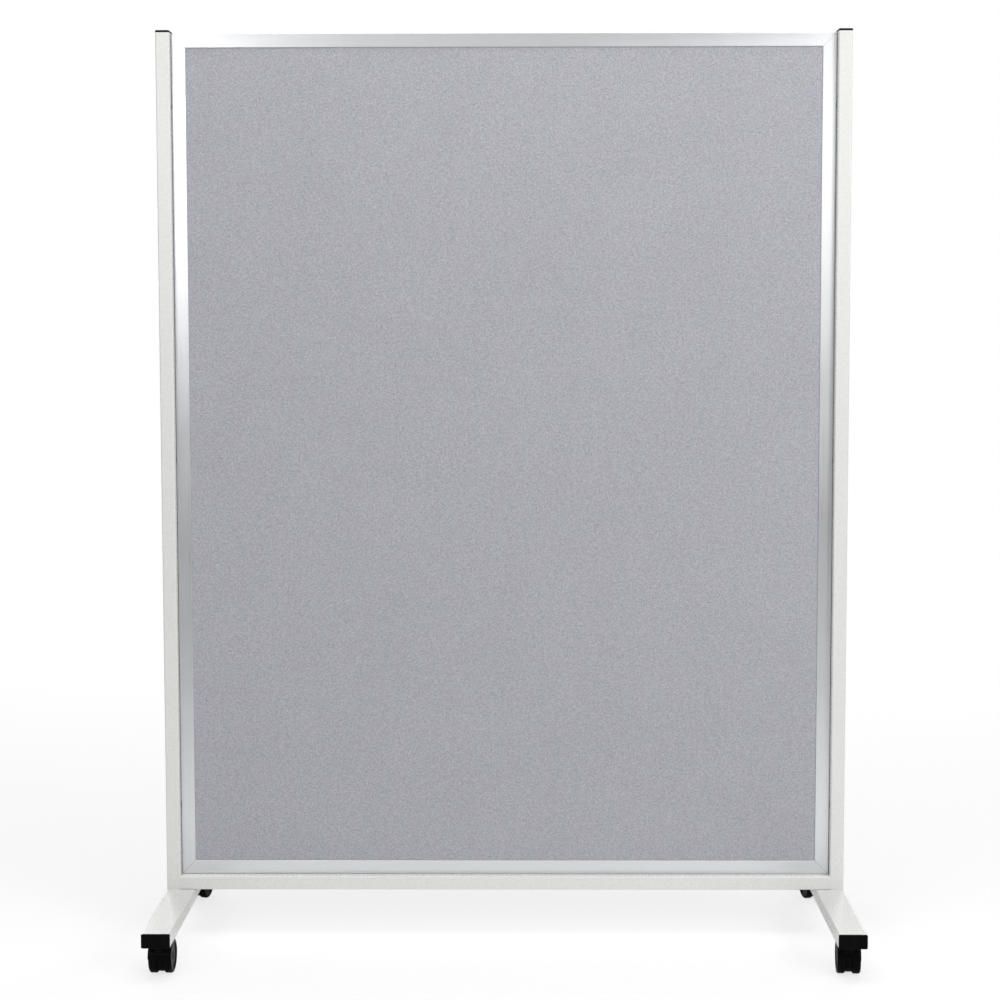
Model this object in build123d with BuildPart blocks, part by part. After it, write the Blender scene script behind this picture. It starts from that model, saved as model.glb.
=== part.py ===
"""A free-standing partition wall: a fabric-faced panel between two steel uprights, on feet with castors.

Millimetres. The origin is on the floor under the middle of the wall, +X runs along the wall to the
right, +Y runs to the rear and +Z is up.
"""

import os
from math import asin, cos, radians, sin

from build123d import *

# ---------------------------------------------------------------- driving dimensions

# One section of steel tube makes the uprights, the rail and the feet.
tube_wide = 50.0
tube_narrow = 25.0
tube_wall = 2.0
tube_corner = 2.5
tube_inner_corner = 1.0

overall_width = 1252.0
foot_length = 600.0
castor_height = 63.0
upright_length = 1569.0

# Plastic caps close the open tube ends.
cap_flange = 4.0
cap_edge = 1.4
cap_insert_length = 18.0
cap_insert_slack = 0.2
cap_insert_wall = 2.5

# The panel sits between the uprights, just clear of the rail.
panel_side_gap = 1.0
panel_rail_gap = 0.5
panel_top_gap = 0.5
frame_face = 25.0
frame_depth = 16.0
frame_wall = 1.5
frame_edge = 0.8
frame_lip_edge = 0.6
frame_chamber = 8.0
frame_line_inset = 4.5
frame_line_width = 0.8
frame_line_depth = 0.5
board_clearance = 1.0
fabric_thickness = 1.0

# Angle keys inside the mitred corners of the panel frame.
key_slack = 0.2
key_leg = 60.0

# Countersunk screws hold the panel, three in each upright.
screw_radius = 2.5
screw_hole_radius = 2.65
screw_head_radius = 5.0
screw_head_depth = 2.5
screw_head_angle = 90.0
screw_length = 35.0
screw_socket_radius = 1.6
screw_socket_depth = 1.5
screw_end_inset = 130.0
spacer_radius = 7.0

# Bolts come up through each foot into a threaded block in the upright.
base_plug_height = 12.0
base_plug_slack = 0.2
bolt_radius = 4.0
bolt_hole_radius = 4.2
bolt_spacing = 26.0
bolt_head_radius = 6.5
bolt_head_height = 8.0
bolt_socket_across = 6.0
bolt_socket_depth = 4.0
bolt_access_radius = 9.5
washer_radius = 8.0
washer_thickness = 1.6

# Twin-wheel castor. Its stem stands a short way in from the end of the foot.
stem_inset = 45.0
castor_trail = 24.0
wheel_radius = 30.0
wheel_width = 14.5
wheel_gap = 0.5
tread_corner = 3.5
web_thickness = 11.0
web_radius = 27.0
dish_depth = 1.6
dish_outer_radius = 23.0
dish_inner_radius = 9.0
dish_slope = 1.2
axle_radius = 3.0
axle_clearance = 0.05
axle_end_cover = 2.5
stem_pin_radius = 4.0
stem_clearance = 0.05
stem_pin_length = 15.0
stem_thread_radius = 5.0
stem_thread_length = 14.0
stem_hex_across = 18.0
stem_hex_height = 2.0
pin_chamfer = 0.8
axle_chamfer = 0.5
boss_radius = 9.0
boss_play = 0.2
hood_inner_radius = 30.6
hood_outer_radius = 32.0
hood_start = 3.0
hood_sweep = 100.0
hood_edge = 0.6
nut_across = 18.0
nut_height = 10.0

# How far each castor has swivelled: the turn of its axle about the vertical, in degrees.
castor_turns = {
    "front_left": -1.5,
    "front_right": -4.0,
    "rear_left": -11.0,
    "rear_right": 11.0,
}

# ---------------------------------------------------------------- derived dimensions

foot_bottom = castor_height
foot_top = foot_bottom + tube_narrow
rail_top = foot_top + tube_narrow
upright_top = foot_top + upright_length
upright_x = (overall_width - tube_narrow) / 2
inner_face_x = overall_width / 2 - tube_narrow
foot_x = (overall_width - tube_wide) / 2
foot_tube_length = foot_length - 2 * cap_flange
stem_y = foot_length / 2 - stem_inset

panel_half_width = inner_face_x - panel_side_gap
panel_bottom = rail_top + panel_rail_gap
panel_top = upright_top - panel_top_gap
panel_height = panel_top - panel_bottom
panel_mid_z = (panel_top + panel_bottom) / 2

channel_depth = frame_depth - 2 * frame_wall
channel_start = 2 * frame_wall + frame_chamber
board_inset = channel_start + board_clearance
board_width = 2 * (panel_half_width - board_inset)
board_height = panel_height - 2 * board_inset
core_thickness = channel_depth - 2 * fabric_thickness

screw_heights = (
    panel_bottom + screw_end_inset,
    panel_mid_z,
    panel_top - screw_end_inset,
)

sides = {"left": -1, "right": 1}
ends = {"front": -1, "rear": 1}


def save(part, name):
    """Names a finished piece and writes it to its own file."""
    part.label = name
    export_step(part, f"parts/{name}.step")


def tube_section(width, depth):
    """The cross-section of the tube, added to the sketch being drawn."""
    RectangleRounded(width, depth, tube_corner)
    RectangleRounded(width - 2 * tube_wall, depth - 2 * tube_wall, tube_inner_corner, mode=Mode.SUBTRACT)


# ---------------------------------------------------------------- uprights, rail and feet

for side, sign in sides.items():
    with BuildPart() as upright:
        with BuildSketch(Plane.XY.offset(foot_top)):
            with Locations((sign * upright_x, 0)):
                tube_section(tube_narrow, tube_wide)
        extrude(amount=upright_length)
        # Each screw hole is countersunk into the outer wall and goes on through the inner one.
        outer_face = Plane(origin=(sign * overall_width / 2, 0, 0), x_dir=(0, 1, 0), z_dir=(sign, 0, 0))
        with Locations([outer_face * Location((0, sign * height)) for height in screw_heights]):
            CounterSinkHole(
                radius=screw_hole_radius,
                counter_sink_radius=screw_head_radius,
                depth=tube_narrow,
                counter_sink_angle=screw_head_angle,
            )
    save(upright.part, f"{side}_upright")

with BuildPart() as rail:
    with BuildSketch(Plane.YZ.offset(-inner_face_x)):
        with Locations((0, foot_top + tube_narrow / 2)):
            tube_section(tube_wide, tube_narrow)
    extrude(amount=2 * inner_face_x)
save(rail.part, "bottom_rail")

# Weld metal, ground flush, fills the rounded corner of each upright beside the rail.
with BuildPart() as welds:
    with BuildSketch(Plane.XY.offset(foot_top)):
        for sign in sides.values():
            for end in ends.values():
                corner_x = sign * (inner_face_x + tube_corner / 2)
                corner_y = end * (tube_wide - tube_corner) / 2
                with Locations((corner_x, corner_y)):
                    Rectangle(tube_corner, tube_corner)
                with Locations((sign * (inner_face_x + tube_corner), end * (tube_wide / 2 - tube_corner))):
                    Circle(tube_corner, mode=Mode.SUBTRACT)
    extrude(amount=tube_narrow)
    # The beads stop at the rounded upper and lower edges of the rail.
    with BuildSketch(Plane.YZ.offset(-overall_width / 2)):
        with Locations((0, foot_top + tube_narrow / 2)):
            RectangleRounded(tube_wide, tube_narrow, tube_corner)
    extrude(amount=overall_width, mode=Mode.INTERSECT)
save(welds.part, "rail_weld_seams")

for side, sign in sides.items():
    with BuildPart() as foot:
        with BuildSketch(Plane.XZ.offset(-foot_tube_length / 2)):
            with Locations((sign * foot_x, foot_bottom + tube_narrow / 2)):
                tube_section(tube_wide, tube_narrow)
        extrude(amount=foot_tube_length)
        # Bolt holes through the upper wall, under the upright.
        with BuildSketch(Plane.XY.offset(foot_top)):
            with Locations((sign * upright_x, 0)):
                with GridLocations(0, bolt_spacing, 1, 2):
                    Circle(bolt_hole_radius)
        extrude(amount=-2 * tube_wall, mode=Mode.SUBTRACT)
        # Wider holes below them let the bolt heads in, and a hole near each end takes a castor stem.
        with BuildSketch(Plane.XY.offset(foot_bottom)):
            with Locations((sign * upright_x, 0)):
                with GridLocations(0, bolt_spacing, 1, 2):
                    Circle(bolt_access_radius)
            with Locations((sign * foot_x, 0)):
                with GridLocations(0, 2 * stem_y, 1, 2):
                    Circle(stem_thread_radius)
        extrude(amount=2 * tube_wall, mode=Mode.SUBTRACT)
    save(foot.part, f"{side}_foot")

# ---------------------------------------------------------------- foot bolts and their blocks

for side, sign in sides.items():
    with BuildPart() as plug:
        with BuildSketch(Plane.XY.offset(foot_top)):
            with Locations((sign * upright_x, 0)):
                RectangleRounded(
                    tube_narrow - 2 * tube_wall - base_plug_slack,
                    tube_wide - 2 * tube_wall - base_plug_slack,
                    tube_inner_corner,
                )
                with GridLocations(0, bolt_spacing, 1, 2):
                    Circle(bolt_radius, mode=Mode.SUBTRACT)
        extrude(amount=base_plug_height)
    save(plug.part, f"{side}_upright_base_plug")

bolt_seat = foot_top - tube_wall

with BuildPart() as washers:
    with BuildSketch(Plane.XY.offset(bolt_seat - washer_thickness)):
        with GridLocations(2 * upright_x, bolt_spacing, 2, 2):
            Circle(washer_radius)
            Circle(bolt_hole_radius, mode=Mode.SUBTRACT)
    extrude(amount=washer_thickness)
save(washers.part, "foot_bolt_washers")

with BuildPart() as bolts:
    head_top = bolt_seat - washer_thickness
    with BuildSketch(Plane.XY.offset(head_top - bolt_head_height)):
        with GridLocations(2 * upright_x, bolt_spacing, 2, 2):
            Circle(bolt_head_radius)
    extrude(amount=bolt_head_height)
    with BuildSketch(Plane.XY.offset(head_top)):
        with GridLocations(2 * upright_x, bolt_spacing, 2, 2):
            Circle(bolt_radius)
    extrude(amount=foot_top + base_plug_height - head_top)
    with BuildSketch(Plane.XY.offset(head_top - bolt_head_height)):
        with GridLocations(2 * upright_x, bolt_spacing, 2, 2):
            RegularPolygon(bolt_socket_across / 2, 6, major_radius=False)
    extrude(amount=bolt_socket_depth, mode=Mode.SUBTRACT)
save(bolts.part, "foot_bolts")

# ---------------------------------------------------------------- tube end caps


def end_cap(mouth, width, depth, name):
    """A cap on a tube's mouth: a flange outside, and a hollow insert that reaches into the tube."""
    insert_width = width - 2 * tube_wall - cap_insert_slack
    insert_depth = depth - 2 * tube_wall - cap_insert_slack
    with BuildPart() as cap:
        with BuildSketch(mouth):
            RectangleRounded(width, depth, tube_corner)
        extrude(amount=cap_flange)
        fillet(cap.faces().sort_by(Axis(mouth.origin, mouth.z_dir))[-1].edges(), radius=cap_edge)
        with BuildSketch(mouth):
            RectangleRounded(insert_width, insert_depth, tube_inner_corner)
            Rectangle(insert_width - 2 * cap_insert_wall, insert_depth - 2 * cap_insert_wall, mode=Mode.SUBTRACT)
        extrude(amount=-cap_insert_length)
    save(cap.part, name)


for side, sign in sides.items():
    upright_mouth = Plane(origin=(sign * upright_x, 0, upright_top))
    end_cap(upright_mouth, tube_narrow, tube_wide, f"{side}_upright_cap")
    for end, direction in ends.items():
        foot_mouth = Plane(
            origin=(sign * foot_x, direction * foot_tube_length / 2, foot_bottom + tube_narrow / 2),
            x_dir=(1, 0, 0),
            z_dir=(0, direction, 0),
        )
        end_cap(foot_mouth, tube_wide, tube_narrow, f"foot_cap_{end}_{side}")

# ---------------------------------------------------------------- panel frame


def frame_member(start, run, inward, length, name, hole_distances=()):
    """One mitred side of the panel frame, drawn out from its outer corner along its outer edge."""
    section_plane = Plane(origin=start, x_dir=inward, z_dir=run)
    with BuildPart() as member:
        with BuildSketch(section_plane) as section:
            with Locations((frame_face / 2, 0)):
                Rectangle(frame_face, frame_depth)
            fillet(section.vertices().group_by(Axis.X)[0], radius=frame_edge)
            # A closed chamber runs along the outer edge for the corner keys.
            with Locations((frame_wall + frame_chamber / 2, 0)):
                Rectangle(frame_chamber, channel_depth, mode=Mode.SUBTRACT)
            # An open channel along the inner edge holds the board between two lips.
            with Locations(((channel_start + frame_face) / 2, 0)):
                Rectangle(frame_face - channel_start, channel_depth, mode=Mode.SUBTRACT)
            fillet(section.vertices().group_by(Axis.X)[-1], radius=frame_lip_edge)
            # A fine line is pressed into both faces near the outer edge.
            with GridLocations(0, frame_depth, 1, 2):
                with Locations((frame_line_inset, 0)):
                    Rectangle(frame_line_width, 2 * frame_line_depth, mode=Mode.SUBTRACT)
        extrude(amount=length)
        split(bisect_by=Plane(origin=start, z_dir=run - inward), keep=Keep.TOP)
        split(bisect_by=Plane(origin=start + run * length, z_dir=-run - inward), keep=Keep.TOP)
        if hole_distances:
            outer_edge = Plane(origin=start, x_dir=run, z_dir=-inward)
            with Locations([outer_edge * Location((distance, 0)) for distance in hole_distances]):
                Hole(radius=screw_radius, depth=2 * frame_wall)
    save(member.part, name)


along = Vector(1, 0, 0)
up = Vector(0, 0, 1)
panel_width = 2 * panel_half_width
lower_left = Vector(-panel_half_width, 0, panel_bottom)
lower_right = Vector(panel_half_width, 0, panel_bottom)
upper_left = Vector(-panel_half_width, 0, panel_top)
screw_distances = [height - panel_bottom for height in screw_heights]

frame_member(lower_left, along, up, panel_width, "frame_bottom")
frame_member(upper_left, along, -up, panel_width, "frame_top")
frame_member(lower_left, up, along, panel_height, "frame_left", screw_distances)
frame_member(lower_right, up, -along, panel_height, "frame_right", screw_distances)

key_outer = frame_wall + key_slack / 2
key_width = frame_chamber - key_slack

with BuildPart() as keys:
    with BuildSketch(Plane.XZ):
        for sign in sides.values():
            for corner_z, inward_z in ((panel_bottom, 1), (panel_top, -1)):
                corner_x = sign * (panel_half_width - key_outer)
                corner_z = corner_z + inward_z * key_outer
                with Locations((corner_x - sign * key_leg / 2, corner_z + inward_z * key_width / 2)):
                    Rectangle(key_leg, key_width)
                with Locations((corner_x - sign * key_width / 2, corner_z + inward_z * key_leg / 2)):
                    Rectangle(key_width, key_leg)
    extrude(amount=(channel_depth - key_slack) / 2, both=True)
save(keys.part, "frame_corner_keys")

# ---------------------------------------------------------------- board and fabric

with BuildPart() as core:
    with BuildSketch(Plane.XZ):
        with Locations((0, panel_mid_z)):
            Rectangle(board_width, board_height)
    extrude(amount=core_thickness / 2, both=True)
save(core.part, "core_board")

for face, direction in ends.items():
    core_face = Plane(
        origin=(0, direction * core_thickness / 2, panel_mid_z),
        x_dir=(1, 0, 0),
        z_dir=(0, direction, 0),
    )
    with BuildPart() as fabric:
        with BuildSketch(core_face):
            Rectangle(board_width, board_height)
        extrude(amount=fabric_thickness)
    save(fabric.part, f"{face}_fabric")

# ---------------------------------------------------------------- panel screws and spacers

with BuildPart() as spacers:
    for sign in sides.values():
        gap_plane = Plane(origin=(sign * inner_face_x, 0, 0), x_dir=(0, 1, 0), z_dir=(-sign, 0, 0))
        with BuildSketch(gap_plane):
            with Locations([(0, -sign * height) for height in screw_heights]):
                Circle(spacer_radius)
                Circle(screw_hole_radius, mode=Mode.SUBTRACT)
        extrude(amount=panel_side_gap)
save(spacers.part, "panel_spacers")

with BuildPart() as screws:
    for sign in sides.values():
        for height in screw_heights:
            # The profile's x runs in along the screw and its y is the distance from the screw's axis.
            head_centre = Vector(sign * overall_width / 2, 0, height)
            screw_axis = Axis(head_centre, (-sign, 0, 0))
            with BuildSketch(Plane(origin=head_centre, x_dir=(-sign, 0, 0), z_dir=(0, sign, 0))):
                with BuildLine():
                    Polyline(
                        (screw_socket_depth, 0),
                        (screw_socket_depth, screw_socket_radius),
                        (0, screw_socket_radius),
                        (0, screw_head_radius),
                        (screw_head_depth, screw_radius),
                        (screw_length - screw_radius / 2, screw_radius),
                        (screw_length, screw_radius / 2),
                        (screw_length, 0),
                        close=True,
                    )
                make_face()
            revolve(axis=screw_axis)
save(screws.part, "panel_screws")

# ---------------------------------------------------------------- castors

wheel_inner_face = web_thickness / 2 + wheel_gap
wheel_outer_face = wheel_inner_face + wheel_width
axle_half_length = wheel_outer_face - axle_end_cover
hex_bottom = foot_bottom - stem_hex_height
boss_top = hex_bottom - boss_play


def castor_stem(stem_foot, name):
    """The fixed stem: a thread into the foot, a hexagon under the foot and a pin for the housing."""
    with BuildPart() as stem:
        with BuildSketch(Plane(origin=(stem_foot.X, stem_foot.Y, foot_bottom))):
            Circle(stem_thread_radius)
        extrude(amount=stem_thread_length)
        with BuildSketch(Plane(origin=(stem_foot.X, stem_foot.Y, hex_bottom))):
            RegularPolygon(stem_hex_across / 2, 6, major_radius=False)
        extrude(amount=stem_hex_height)
        with BuildSketch(Plane(origin=(stem_foot.X, stem_foot.Y, hex_bottom))):
            Circle(stem_pin_radius)
        extrude(amount=-stem_pin_length)
        chamfer(stem.edges().filter_by(GeomType.CIRCLE).sort_by(Axis.Z)[0], length=pin_chamfer)
        chamfer(stem.edges().filter_by(GeomType.CIRCLE).sort_by(Axis.Z)[-1], length=pin_chamfer)
    save(stem.part, name)


def castor_housing(stem_foot, wheel_side, name):
    """The swivelling body: a hood over the wheels, a web between them and a boss round the pin."""
    boss_foot = (stem_foot.X, stem_foot.Y, wheel_radius + web_radius / 2)
    with BuildPart() as housing:
        with BuildSketch(wheel_side):
            with BuildLine():
                rim = CenterArc((0, 0), hood_outer_radius, hood_start, hood_sweep)
                Polyline(rim @ 1, (0, 0), rim @ 0)
            make_face()
        extrude(amount=wheel_outer_face, both=True)
        fillet(housing.edges().filter_by(GeomType.CIRCLE), radius=hood_edge)
        with BuildSketch(Plane(origin=boss_foot)):
            Circle(boss_radius)
        extrude(amount=boss_top - boss_foot[2])
        # The wheels turn in wells on both sides of the web.
        for direction in (1, -1):
            with BuildSketch(wheel_side.offset(direction * web_thickness / 2)):
                Circle(hood_inner_radius)
            extrude(amount=direction * 2 * wheel_width, mode=Mode.SUBTRACT)
        with BuildSketch(wheel_side):
            Circle(web_radius)
        extrude(amount=web_thickness / 2, both=True)
        with BuildSketch(wheel_side):
            Circle(axle_radius)
        extrude(amount=web_thickness, both=True, mode=Mode.SUBTRACT)
        with BuildSketch(Plane(origin=(stem_foot.X, stem_foot.Y, boss_top))):
            Circle(stem_pin_radius + stem_clearance)
        extrude(amount=-stem_pin_length - boss_play, mode=Mode.SUBTRACT)
    save(housing.part, name)


def castor_axle(wheel_side, name):
    """The steel pin that is pressed through the web and carries both wheels."""
    with BuildPart() as axle:
        with BuildSketch(wheel_side):
            Circle(axle_radius)
        extrude(amount=axle_half_length, both=True)
        chamfer(axle.edges().filter_by(GeomType.CIRCLE), length=axle_chamfer)
    save(axle.part, name)


def castor_wheel(hub, outward, name):
    """One moulded wheel: a round-cornered tread, a dished outer face and a blind bore for the axle."""
    bore_radius = axle_radius + axle_clearance
    bore_end = axle_half_length + axle_clearance
    rim_radius = wheel_radius - tread_corner
    # The hub is a shallow dome, part of a ball centred on the axle.
    dome_radius = (dish_inner_radius**2 + dish_depth**2) / (2 * dish_depth)
    dome_half_angle = asin(dish_inner_radius / dome_radius) / 2
    dome_centre = wheel_outer_face - dome_radius
    # The profile's x runs outwards along the axle and its y is the distance from the axle.
    with BuildPart() as wheel:
        with BuildSketch(Plane(origin=hub, x_dir=outward, z_dir=outward.cross(up))):
            with BuildLine():
                bore = Polyline(
                    (bore_end, 0),
                    (bore_end, bore_radius),
                    (wheel_inner_face, bore_radius),
                    (wheel_inner_face, rim_radius),
                )
                inner_corner = TangentArc(
                    bore @ 1,
                    (wheel_inner_face + tread_corner, wheel_radius),
                    tangent=(0, 1),
                )
                tread = Line(inner_corner @ 1, (wheel_outer_face - tread_corner, wheel_radius))
                outer_corner = TangentArc(tread @ 1, (wheel_outer_face, rim_radius), tangent=(1, 0))
                dish = Polyline(
                    outer_corner @ 1,
                    (wheel_outer_face, dish_outer_radius),
                    (wheel_outer_face - dish_depth, dish_outer_radius - dish_slope),
                    (wheel_outer_face - dish_depth, dish_inner_radius),
                )
                dome = ThreePointArc(
                    dish @ 1,
                    (dome_centre + dome_radius * cos(dome_half_angle), dome_radius * sin(dome_half_angle)),
                    (wheel_outer_face, 0),
                )
                Line(dome @ 1, bore @ 0)
            make_face()
        revolve(axis=Axis(hub, outward))
    save(wheel.part, name)


for side, sign in sides.items():
    for end, direction in ends.items():
        corner = f"{end}_{side}"
        turn = radians(castor_turns[corner])
        axle_right = Vector(cos(turn), sin(turn), 0)
        rearwards = Vector(-sin(turn), cos(turn), 0)
        stem_foot = Vector(sign * foot_x, direction * stem_y, 0)
        # Every castor trails in under its foot, towards the middle of the wall.
        to_stem = rearwards * direction
        hub = stem_foot - to_stem * castor_trail + up * wheel_radius
        wheel_side = Plane(origin=hub, x_dir=to_stem, z_dir=to_stem.cross(up))
        inwards = axle_right * -sign
        castor_stem(stem_foot, f"castor_{corner}_stem")
        castor_housing(stem_foot, wheel_side, f"castor_{corner}_housing")
        castor_axle(wheel_side, f"castor_{corner}_axle")
        castor_wheel(hub, inwards, f"castor_{corner}_wheel_inner")
        castor_wheel(hub, -inwards, f"castor_{corner}_wheel_outer")

with BuildPart() as nuts:
    with BuildSketch(Plane.XY.offset(foot_bottom + tube_wall)):
        with GridLocations(2 * foot_x, 2 * stem_y, 2, 2):
            Rectangle(nut_across, nut_across)
            Circle(stem_thread_radius, mode=Mode.SUBTRACT)
    extrude(amount=nut_height)
save(nuts.part, "castor_nuts")
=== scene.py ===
"""The looks of the partition wall: its fabric faces, its finishes, and the studio that it stands in.

Metres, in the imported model's own frame: the origin is on the floor under the middle of the wall, +X runs
along the wall to the right, +Y runs to the rear and +Z is up.
"""

from math import pi

import bmesh
import bpy
from mathutils import Matrix, Vector, noise


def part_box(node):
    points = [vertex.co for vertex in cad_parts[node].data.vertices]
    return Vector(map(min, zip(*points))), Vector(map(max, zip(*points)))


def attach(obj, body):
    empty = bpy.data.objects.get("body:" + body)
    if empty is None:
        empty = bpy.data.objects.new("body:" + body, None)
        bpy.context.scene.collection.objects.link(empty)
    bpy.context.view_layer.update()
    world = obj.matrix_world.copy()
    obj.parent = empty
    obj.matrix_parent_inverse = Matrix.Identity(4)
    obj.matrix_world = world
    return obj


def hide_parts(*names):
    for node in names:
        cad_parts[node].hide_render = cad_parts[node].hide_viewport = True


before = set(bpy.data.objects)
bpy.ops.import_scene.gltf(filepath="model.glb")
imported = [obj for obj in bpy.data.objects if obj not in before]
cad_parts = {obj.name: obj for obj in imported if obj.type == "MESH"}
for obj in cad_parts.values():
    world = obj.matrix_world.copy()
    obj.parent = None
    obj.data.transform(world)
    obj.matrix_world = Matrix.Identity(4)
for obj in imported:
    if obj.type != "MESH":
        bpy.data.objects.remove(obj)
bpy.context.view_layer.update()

# ---------------------------------------------------------------- which finish each node has

FINISHES = {
    "coated_steel": [
        "left_upright",
        "right_upright",
        "bottom_rail",
        "rail_weld_seams",
        "left_foot",
        "right_foot",
    ],
    "upright_frame": ["frame_left", "frame_right"],
    "level_frame": ["frame_top", "frame_bottom"],
    "cap_plastic": [
        "left_upright_cap",
        "right_upright_cap",
        "foot_cap_front_left",
        "foot_cap_front_right",
        "foot_cap_rear_left",
        "foot_cap_rear_right",
        "panel_spacers",
    ],
    "zinc_plate": [
        "frame_corner_keys",
        "panel_screws",
        "foot_bolts",
        "foot_bolt_washers",
        "castor_nuts",
        "left_upright_base_plug",
        "right_upright_base_plug",
    ],
    "fibreboard": ["core_board"],
    "castor_nylon": [],
    "wheel_nylon": [],
}
CASTORS = ["front_left", "front_right", "rear_left", "rear_right"]
for corner in CASTORS:
    FINISHES["castor_nylon"].append(f"castor_{corner}_housing")
    FINISHES["wheel_nylon"].append(f"castor_{corner}_wheel_inner")
    FINISHES["wheel_nylon"].append(f"castor_{corner}_wheel_outer")
    FINISHES["zinc_plate"].append(f"castor_{corner}_stem")
    FINISHES["zinc_plate"].append(f"castor_{corner}_axle")

# ---------------------------------------------------------------- shader nodes

MIDDLE = (0.3, 0.7)  # the range where most of a noise's values fall
WHOLE = (0.0, 1.0)


def add(tree, kind, inputs=None, **settings):
    """Adds a shader node, with its settings, and with its inputs set or linked by name or number."""
    made = tree.nodes.new(kind)
    for name, value in settings.items():
        setattr(made, name, value)
    for name, value in (inputs or {}).items():
        if isinstance(value, bpy.types.NodeSocket):
            tree.links.new(value, made.inputs[name])
        else:
            made.inputs[name].default_value = value
    return made


def places(tree, stretch=(1, 1, 1)):
    """Points on the piece in its own metres, scaled along each axis."""
    own = add(tree, "ShaderNodeTexCoord").outputs["Object"]
    return add(tree, "ShaderNodeMapping", {"Vector": own, "Scale": stretch}).outputs["Vector"]


def cloud(tree, points, scale, detail=2.0, roughness=0.5):
    """Smooth noise from 0 to 1, with about this many features to the metre."""
    inputs = {"Vector": points, "Scale": scale, "Detail": detail, "Roughness": roughness}
    return add(tree, "ShaderNodeTexNoise", inputs).outputs["Fac"]


def cells(tree, points, scale, feature="F1"):
    """The distance from the nearest of scattered points, with about this many to the metre."""
    inputs = {"Vector": points, "Scale": scale}
    return add(tree, "ShaderNodeTexVoronoi", inputs, feature=feature).outputs["Distance"]


def remap(tree, value, old, new):
    """Carries value from the range old to the range new, and holds it there."""
    inputs = {"Value": value, "From Min": old[0], "From Max": old[1], "To Min": new[0], "To Max": new[1]}
    return add(tree, "ShaderNodeMapRange", inputs).outputs["Result"]


def combine(tree, operation, first, second):
    """One arithmetic step on two numbers."""
    return add(tree, "ShaderNodeMath", {0: first, 1: second}, operation=operation).outputs["Value"]


def mixture(tree, first, first_share, second, second_share):
    """The sum of two numbers, each times its own share."""
    part = combine(tree, "MULTIPLY", first, first_share)
    return combine(tree, "ADD", part, combine(tree, "MULTIPLY", second, second_share))


def blend(tree, share, first, second):
    """A colour between two others, by share from 0 to 1."""
    made = add(tree, "ShaderNodeMix", {0: share, 6: first, 7: second}, data_type="RGBA")
    return made.outputs[2]


def tinted(tree, base, tint):
    """One colour times another."""
    inputs = {0: 1.0, 6: base, 7: tint}
    return add(tree, "ShaderNodeMix", inputs, data_type="RGBA", blend_type="MULTIPLY").outputs[2]


def relief(tree, height, depth, strength=1.0):
    """A surface normal from a height of 0 to 1, where 1 stands for depth metres."""
    inputs = {"Height": height, "Distance": depth, "Strength": strength}
    return add(tree, "ShaderNodeBump", inputs).outputs["Normal"]


def colour(red, green, blue):
    """An opaque colour for a shader socket."""
    return (red, green, blue, 1.0)


def new_material(name, constants):
    """An empty Principled material with its constant values set on the shader's own sockets."""
    material = bpy.data.materials.new(name)
    material.use_nodes = True
    shader = material.node_tree.nodes["Principled BSDF"]
    for socket, value in constants.items():
        shader.inputs[socket].default_value = value
    return material, material.node_tree, shader


def surface(tree, shader, base, roughness, normal):
    """Links the three things that vary over a surface."""
    tree.links.new(base, shader.inputs["Base Color"])
    tree.links.new(roughness, shader.inputs["Roughness"])
    tree.links.new(normal, shader.inputs["Normal"])


# ---------------------------------------------------------------- finishes

PEEL_PER_M = 420
COAT_GRAIN_PER_M = 1500
COAT_MOTTLE_PER_M = 5
COAT_RELIEF = 0.00002
COAT_GLOSS = (0.24, 0.32)
SCUFF_TOP = 0.125
SCUFF_STRETCH = (60, 9, 60)
COAT_DARKER = colour(0.605, 0.611, 0.592)
COAT_PALER = colour(0.631, 0.636, 0.617)
SCUFFED = colour(0.42, 0.42, 0.40)


def coated_steel():
    """Off-white powder coat: satin, with a fine orange peel, and faint scuffs low down on the feet."""
    material, tree, shader = new_material("coated_steel", {"Specular IOR Level": 0.45})
    points = places(tree)
    peel = cloud(tree, points, PEEL_PER_M, 1.5)
    grain = cloud(tree, points, COAT_GRAIN_PER_M, 1.0)
    mottle = cloud(tree, points, COAT_MOTTLE_PER_M, 3.0)
    above_floor = add(tree, "ShaderNodeSeparateXYZ", {0: points}).outputs["Z"]
    low_down = remap(tree, above_floor, (SCUFF_TOP, 0.0), WHOLE)
    streaks = cloud(tree, places(tree, SCUFF_STRETCH), 1.0, 4.0, 0.7)
    scuffs = combine(tree, "MULTIPLY", low_down, remap(tree, streaks, (0.6, 0.78), (0.0, 0.5)))
    clean = blend(tree, mottle, COAT_DARKER, COAT_PALER)
    base = blend(tree, scuffs, clean, SCUFFED)
    roughness = combine(tree, "ADD", remap(tree, peel, MIDDLE, COAT_GLOSS), scuffs)
    height = combine(tree, "ADD", peel, combine(tree, "MULTIPLY", grain, 0.15))
    surface(tree, shader, base, roughness, relief(tree, height, COAT_RELIEF))
    return material


LINES_PER_M = 2600
BANDS_PER_M = 260
LINE_STRETCH = 0.004
METAL_RELIEF = 0.00003
METAL_GLOSS = (0.28, 0.36)
BLOOM_PER_M = 9
BLOOM_GLOSS = (-0.02, 0.02)
METAL_DARKER = colour(0.665, 0.672, 0.688)
METAL_PALER = colour(0.755, 0.760, 0.772)
SEAM_WIDTH = 0.0007
SEAM = colour(0.36, 0.36, 0.37)


def from_edge(tree, place, low, high):
    """How far inside the nearer of two outer edges a coordinate is."""
    offset = combine(tree, "SUBTRACT", place, (low + high) / 2)
    return combine(tree, "SUBTRACT", (high - low) / 2, combine(tree, "ABSOLUTE", offset, 0.0))


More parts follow.
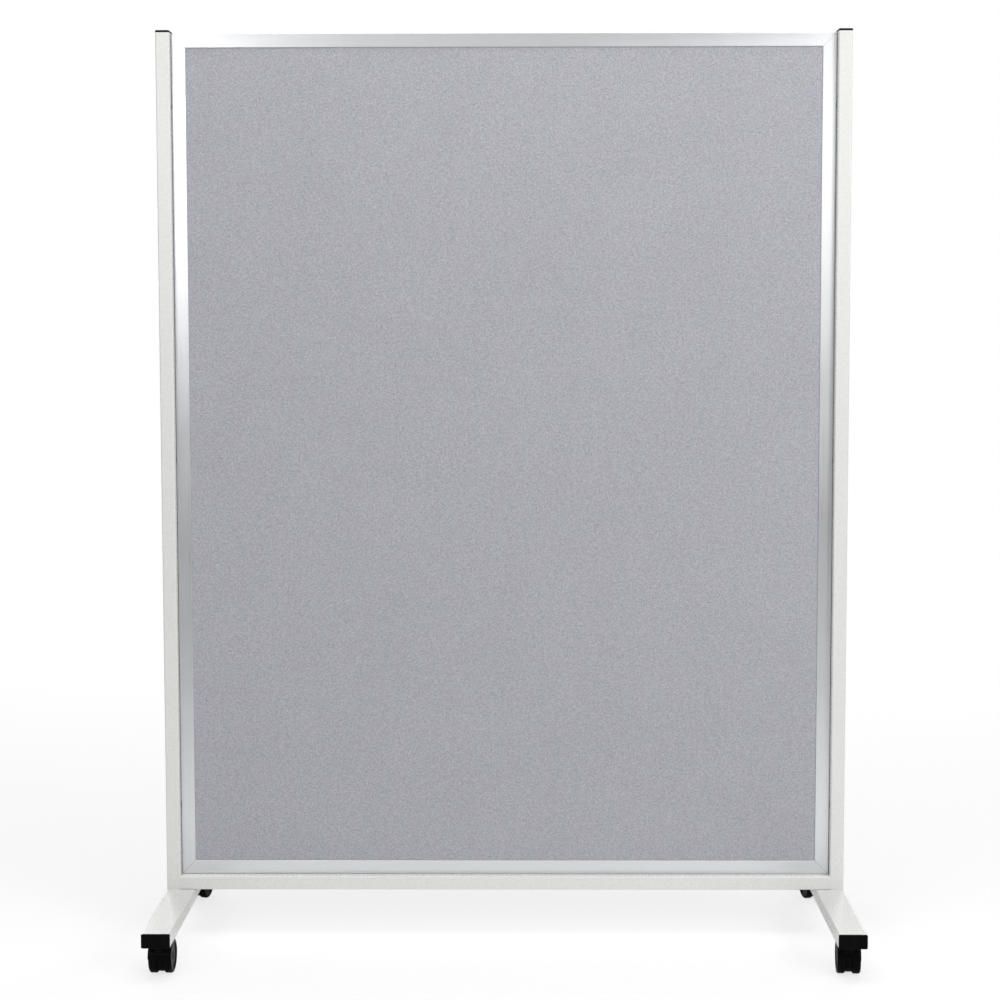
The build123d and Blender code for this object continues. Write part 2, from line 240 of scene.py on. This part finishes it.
def mitre_seam(tree):
    """1 on the closed mitre joints at the frame's corners, 0 elsewhere."""
    low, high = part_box("frame_left")[0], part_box("frame_right")[1]
    split = add(tree, "ShaderNodeSeparateXYZ", {0: places(tree)}).outputs
    along = from_edge(tree, split["X"], low[0], high[0])
    up = from_edge(tree, split["Z"], low[2], high[2])
    away = combine(tree, "ABSOLUTE", combine(tree, "SUBTRACT", along, up), 0.0)
    return remap(tree, away, (0.0, SEAM_WIDTH), (1.0, 0.0))


def anodised(name, stretch):
    """Natural anodised aluminium: satin, with the extrusion's fine lines along its length."""
    material, tree, shader = new_material(name, {"Metallic": 1.0})
    points = places(tree, stretch)
    lines = cloud(tree, points, LINES_PER_M, 2.0)
    bands = cloud(tree, points, BANDS_PER_M, 1.0)
    bloom = cloud(tree, places(tree), BLOOM_PER_M, 3.0)
    both = mixture(tree, lines, 0.5, bands, 0.5)
    metal = blend(tree, both, METAL_DARKER, METAL_PALER)
    base = blend(tree, mitre_seam(tree), metal, SEAM)
    line_gloss = remap(tree, both, MIDDLE, METAL_GLOSS)
    roughness = combine(tree, "ADD", line_gloss, remap(tree, bloom, MIDDLE, BLOOM_GLOSS))
    surface(tree, shader, base, roughness, relief(tree, both, METAL_RELIEF))
    return material


LOOPS_PER_M = 1050
TUFTS_PER_M = 300
SPECKS_PER_M = 520
SHADE_PER_M = 7
DYE_PER_M = 34
DYE_STRETCH = (1, 1, 0.8)
PILE_RELIEF = 0.0005
PILE_STRENGTH = 0.8
PILE_GLOSS = (0.82, 0.95)
DARK_LOOPS = colour(0.256, 0.257, 0.281)
PALE_LOOPS = colour(0.428, 0.429, 0.467)
COOLER_DYE = colour(0.985, 1.0, 1.0)
WARMER_DYE = colour(1.015, 0.99, 1.0)
BLACK = colour(0.0, 0.0, 0.0)
DARKENING = (0.0, 0.03)


def loop_fabric():
    """Brushed loop nylon: a close, matt, grey-blue pile that mixes paler and darker loops."""
    material, tree, shader = new_material(
        "loop_fabric",
        {"Sheen Weight": 0.25, "Sheen Roughness": 0.5, "Specular IOR Level": 0.15},
    )
    points = places(tree)
    loops = cells(tree, points, LOOPS_PER_M)
    tufts = cloud(tree, points, TUFTS_PER_M, 2.0, 0.6)
    specks = cloud(tree, points, SPECKS_PER_M, 1.0)
    shade = cloud(tree, points, SHADE_PER_M, 2.0)
    dye = cloud(tree, places(tree, DYE_STRETCH), DYE_PER_M, 1.0)
    mix = mixture(tree, tufts, 0.45, specks, 0.55)
    loop_colour = blend(tree, remap(tree, mix, (0.32, 0.68), WHOLE), DARK_LOOPS, PALE_LOOPS)
    tint = blend(tree, remap(tree, dye, (0.35, 0.65), WHOLE), COOLER_DYE, WARMER_DYE)
    dyed = tinted(tree, loop_colour, tint)
    darker = blend(tree, remap(tree, shade, MIDDLE, DARKENING), dyed, BLACK)
    roughness = remap(tree, tufts, MIDDLE, PILE_GLOSS)
    height = mixture(tree, loops, 0.7, tufts, 0.5)
    surface(tree, shader, darker, roughness, relief(tree, height, PILE_RELIEF, PILE_STRENGTH))
    return material


FLOW_STRETCH = (1, 1, 0.3)
FLOW_PER_M = 70
FLOW_GLOSS = (-0.03, 0.03)
GRAIN_GLOSS = 0.04
MOULDED_SPECULAR = 0.04
BLACK_PLASTIC = colour(0.0012, 0.0012, 0.0015)


def moulded(name, pale, roughness, grain_per_m, depth):
    """Black moulded plastic with a fine spark-eroded grain and faint flow marks."""
    material, tree, shader = new_material(name, {"Specular IOR Level": MOULDED_SPECULAR})
    points = places(tree)
    grain = cloud(tree, points, grain_per_m, 2.0, 0.6)
    flow = cloud(tree, places(tree, FLOW_STRETCH), FLOW_PER_M, 2.0)
    base = blend(tree, remap(tree, flow, (0.35, 0.7), WHOLE), BLACK_PLASTIC, pale)
    grain_gloss = remap(tree, grain, MIDDLE, (roughness - GRAIN_GLOSS, roughness + GRAIN_GLOSS))
    gloss = combine(tree, "ADD", grain_gloss, remap(tree, flow, MIDDLE, FLOW_GLOSS))
    surface(tree, shader, base, gloss, relief(tree, grain, depth))
    return material


ZINC_BLOOM_PER_M = 160
TURNING_PER_M = 900
TURNING_STRETCH = (1, 1, 6)
TURNING_RELIEF = 0.00002
ZINC_GLOSS = (0.24, 0.36)
BLUE_ZINC = colour(0.60, 0.63, 0.68)
STRAW_ZINC = colour(0.68, 0.66, 0.60)


def zinc_plate():
    """Bright zinc plate with a faint blue and straw bloom and fine turning marks."""
    material, tree, shader = new_material("zinc_plate", {"Metallic": 1.0})
    points = places(tree)
    bloom = cloud(tree, points, ZINC_BLOOM_PER_M, 3.0)
    marks = cloud(tree, places(tree, TURNING_STRETCH), TURNING_PER_M, 2.0)
    base = blend(tree, remap(tree, bloom, (0.35, 0.65), WHOLE), BLUE_ZINC, STRAW_ZINC)
    roughness = remap(tree, marks, MIDDLE, ZINC_GLOSS)
    surface(tree, shader, base, roughness, relief(tree, marks, TURNING_RELIEF))
    return material


FIBRES_PER_M = 420
FIBRE_STRETCH = (1, 1, 4)
FIBRE_RELIEF = 0.0004
FLECKS_PER_M = 90
BOARD_GLOSS = (0.85, 0.95)
DARK_FIBRES = colour(0.30, 0.21, 0.12)
PALE_FIBRES = colour(0.52, 0.41, 0.27)


def fibreboard():
    """Soft board: matted wood fibres."""
    material, tree, shader = new_material("fibreboard", {"Specular IOR Level": 0.2})
    fibres = cloud(tree, places(tree, FIBRE_STRETCH), FIBRES_PER_M, 4.0, 0.7)
    flecks = cloud(tree, places(tree), FLECKS_PER_M, 3.0)
    base = blend(tree, fibres, DARK_FIBRES, PALE_FIBRES)
    roughness = remap(tree, flecks, MIDDLE, BOARD_GLOSS)
    surface(tree, shader, base, roughness, relief(tree, fibres, FIBRE_RELIEF))
    return material


MATERIALS = {
    "coated_steel": coated_steel(),
    "upright_frame": anodised("anodised_upright", (1, 1, LINE_STRETCH)),
    "level_frame": anodised("anodised_level", (LINE_STRETCH, 1, 1)),
    "cap_plastic": moulded("cap_plastic", colour(0.0024, 0.0024, 0.0027), 0.26, 1400, 0.00003),
    "castor_nylon": moulded("castor_nylon", colour(0.0022, 0.0022, 0.0025), 0.30, 1100, 0.00003),
    "wheel_nylon": moulded("wheel_nylon", colour(0.0024, 0.0024, 0.0027), 0.34, 800, 0.00004),
    "zinc_plate": zinc_plate(),
    "fibreboard": fibreboard(),
}
for finish, nodes in FINISHES.items():
    for name in nodes:
        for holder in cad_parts[name].material_slots:
            holder.material = MATERIALS[finish]

# ---------------------------------------------------------------- the two fabric faces

FABRIC = loop_fabric()
GRID_STEP = 0.012
WAVES_PER_M = 6.0
WAVE_DEPTH = 0.00015
CLOTH_THICKNESS = 0.0008


def fabric_face(side, outward, seed):
    """One sheet of loop fabric, stretched over the board, with the slightest waviness."""
    low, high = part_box(f"{side}_fabric")
    width = high[0] - low[0]
    height = high[2] - low[2]
    outer = high[1] if outward > 0 else low[1]
    columns = round(width / GRID_STEP)
    rows = round(height / GRID_STEP)
    shape = bmesh.new()
    grid = []
    for row in range(rows + 1):
        line = []
        for column in range(columns + 1):
            x = low[0] + width * column / columns
            z = low[2] + height * row / rows
            wave = 0.5 + 0.5 * noise.noise(Vector((x * WAVES_PER_M, z * WAVES_PER_M, seed)))
            line.append(shape.verts.new((x, outer - outward * WAVE_DEPTH * wave, z)))
        grid.append(line)
    for row in range(rows):
        for column in range(columns):
            below = grid[row]
            above = grid[row + 1]
            ring = [below[column], below[column + 1], above[column + 1], above[column]]
            if outward > 0:
                ring.reverse()
            shape.faces.new(ring).smooth = True
    mesh = bpy.data.meshes.new(f"{side}_fabric_face")
    shape.to_mesh(mesh)
    shape.free()
    piece = bpy.data.objects.new(f"{side}_fabric_face", mesh)
    bpy.context.scene.collection.objects.link(piece)
    mesh.materials.append(FABRIC)
    cloth = piece.modifiers.new("cloth", "SOLIDIFY")
    cloth.thickness = CLOTH_THICKNESS
    cloth.offset = -1
    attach(piece, "root")
    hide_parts(f"{side}_fabric")
    return piece


FRONT, REAR = -1, 1
FRONT_SEED, REAR_SEED = 3.0, 11.0
fabric_face("front", FRONT, FRONT_SEED)
fabric_face("rear", REAR, REAR_SEED)

# ---------------------------------------------------------------- floor, lights and camera

FLOOR_RADIUS = 3.4
FLOOR_SIDES = 96
FLOOR_FADE = (1.7, 3.2)
FLOOR_GIVE = 0.72
FLOOR_GRAIN_PER_M = 40
FLOOR_DARKER = colour(0.90, 0.90, 0.90)
FLOOR_PALER = colour(0.92, 0.92, 0.92)
FLOOR_ROUGHNESS = 0.9


def floor_finish():
    """Pale matt floor, part see-through to the camera, that fades out away from the wall."""
    material, tree, shader = new_material("pale_floor", {"Specular IOR Level": 0.1})
    points = places(tree)
    grain = cloud(tree, points, FLOOR_GRAIN_PER_M, 3.0)
    base = blend(tree, grain, FLOOR_DARKER, FLOOR_PALER)
    tree.links.new(base, shader.inputs["Base Color"])
    shader.inputs["Roughness"].default_value = FLOOR_ROUGHNESS
    distance = add(tree, "ShaderNodeVectorMath", {0: points}, operation="LENGTH").outputs["Value"]
    is_seen = add(tree, "ShaderNodeLightPath").outputs["Is Camera Ray"]
    thinned = combine(tree, "MULTIPLY", is_seen, FLOOR_GIVE)
    gone = combine(tree, "MAXIMUM", remap(tree, distance, FLOOR_FADE, WHOLE), thinned)
    clear = add(tree, "ShaderNodeBsdfTransparent")
    both = add(tree, "ShaderNodeMixShader", {0: gone, 1: shader.outputs["BSDF"], 2: clear.outputs["BSDF"]})
    tree.links.new(both.outputs["Shader"], tree.nodes["Material Output"].inputs["Surface"])
    return material


def floor():
    """A round floor under the wall."""
    shape = bmesh.new()
    bmesh.ops.create_circle(shape, cap_ends=True, segments=FLOOR_SIDES, radius=FLOOR_RADIUS)
    mesh = bpy.data.meshes.new("floor")
    shape.to_mesh(mesh)
    shape.free()
    piece = bpy.data.objects.new("floor", mesh)
    bpy.context.scene.collection.objects.link(piece)
    mesh.materials.append(floor_finish())


def softbox(name, place, target, size, power):
    """A rectangular soft light that faces target and isn't seen itself."""
    lamp = bpy.data.lights.new(name, "AREA")
    lamp.shape = "RECTANGLE"
    lamp.size, lamp.size_y = size
    lamp.energy = power
    piece = bpy.data.objects.new(name, lamp)
    piece.location = place
    piece.rotation_mode = "QUATERNION"
    piece.rotation_quaternion = (Vector(target) - Vector(place)).to_track_quat("-Z", "Y")
    piece.visible_camera = False
    bpy.context.scene.collection.objects.link(piece)


def studio_air(seen, felt):
    """A background that the camera sees as seen, and that lights the wall with felt."""
    world = bpy.data.worlds.new("studio")
    bpy.context.scene.world = world
    world.use_nodes = True
    tree = world.node_tree
    is_seen = add(tree, "ShaderNodeLightPath").outputs["Is Camera Ray"]
    shade = blend(tree, is_seen, colour(*felt), colour(*seen))
    tree.links.new(shade, tree.nodes["Background"].inputs["Color"])


WALL_MIDDLE = (0, 0, 0.9)
CAMERA_PLACE = (0.0261, -3.8412, 1.1879)
CAMERA_YAW = 0.00884
CAMERA_PITCH = -0.0789
CAMERA_ROLL = 0.00167
LENS_MM = 75.67
SENSOR_MM = 36.0
SHIFT_UP = -0.040


def camera():
    """The camera that took the photo, as solved from the wall's edges."""
    lens = bpy.data.cameras.new("camera")
    lens.sensor_width = SENSOR_MM
    lens.lens = LENS_MM
    lens.shift_y = SHIFT_UP
    piece = bpy.data.objects.new("camera", lens)
    level = Matrix.Rotation(pi / 2, 4, "X")
    turned = Matrix.Rotation(CAMERA_YAW, 4, "Z") @ Matrix.Rotation(CAMERA_PITCH, 4, "X")
    piece.matrix_world = (
        Matrix.Translation(CAMERA_PLACE) @ turned @ Matrix.Rotation(CAMERA_ROLL, 4, "Y") @ level
    )
    bpy.context.scene.collection.objects.link(piece)
    bpy.context.scene.camera = piece


BACKGROUND_SEEN = (1.0, 1.0, 1.0)
BACKGROUND_FELT = (0.27, 0.27, 0.275)
FLOOR_MIDDLE = (0, 0, 0)
LEFT_FOOT_FRONT = (-0.5, -0.5, 0)
RIGHT_FOOT_FRONT = (0.5, -0.5, 0)
# name, place, what it faces, width and height in metres, power in watts
SOFTBOXES = [
    ("left_key", (-1.4, -3.5, 1.72), WALL_MIDDLE, (0.6, 1.1), 10.5),
    ("right_key", (1.5, -3.5, 1.64), WALL_MIDDLE, (0.8, 1.1), 6),
    ("left_fill", (-2.6, -3.3, 2.0), WALL_MIDDLE, (1.2, 1.6), 12.5),
    ("right_fill", (2.6, -3.3, 2.0), WALL_MIDDLE, (1.2, 1.6), 45.5),
    ("right_edge", (2.2, -1.8, 1.9), WALL_MIDDLE, (1.0, 1.6), 14),
    ("overhead", (0, -0.8, 3.2), FLOOR_MIDDLE, (2.4, 1.6), 48),
    ("header", (0.05, -3.5, 2.15), WALL_MIDDLE, (1.5, 0.4), 2.0),
    ("left_low", (-1.3, -1.4, 1.4), LEFT_FOOT_FRONT, (0.8, 0.8), 3),
    ("right_low", (1.3, -1.4, 1.4), RIGHT_FOOT_FRONT, (0.8, 0.8), 2.4),
    ("rear_left", (-1.8, 3.3, 2.0), WALL_MIDDLE, (1.0, 1.8), 45),
    ("rear_right", (1.8, 3.3, 2.0), WALL_MIDDLE, (1.0, 1.8), 45),
]

floor()
studio_air(BACKGROUND_SEEN, BACKGROUND_FELT)
for light in SOFTBOXES:
    softbox(*light)
camera()
bpy.context.scene.view_settings.view_transform = "Standard"
